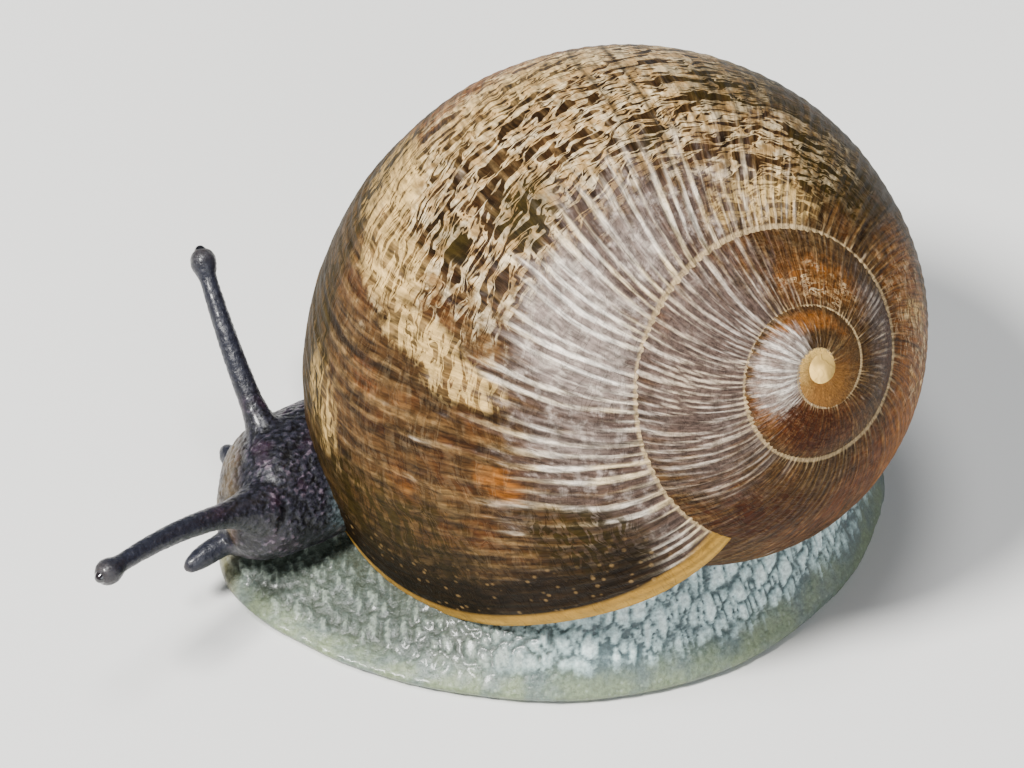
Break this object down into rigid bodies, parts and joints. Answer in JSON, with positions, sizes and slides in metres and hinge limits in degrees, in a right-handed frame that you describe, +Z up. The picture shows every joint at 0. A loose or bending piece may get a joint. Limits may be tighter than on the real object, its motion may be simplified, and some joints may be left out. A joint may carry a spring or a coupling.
{
  "type": "garden snail model",
  "caption": "Life-size still model of a garden snail resting on its sole, with a coiled shell, a broad foot and its head and feelers stretched out.",
  "frame": {"origin": "middle of the outline seen from above, on the plane the sole rests on", "axes": "-X towards the head, -Y towards the side that shows the top of the spire, +Z up from the sole"},
  "size_m": [0.0412, 0.0298, 0.0268],
  "materials": {
    "shell": "satin horn with fine growth ridges",
    "collar": "moist soft skin",
    "foot": "moist, bumpy, slightly see-through skin",
    "skin": "moist dark skin",
    "eye": "polished black"
  },
  "bodies": {
    "root": {"shell": "shell", "mantle_collar": "collar", "foot_front": "foot", "foot_middle": "foot", "foot_tail": "foot", "neck": "skin", "head": "skin", "mouth_lobes": "skin", "eye_tentacle_left_root": "skin", "eye_tentacle_left_shaft": "skin", "eye_tentacle_left_bulb": "skin", "lower_tentacle_left": "skin", "eye_left": "eye", "eye_tentacle_right_root": "skin", "eye_tentacle_right_shaft": "skin", "eye_tentacle_right_bulb": "skin", "lower_tentacle_right": "skin", "eye_right": "eye"}
  },
  "joints": []
}
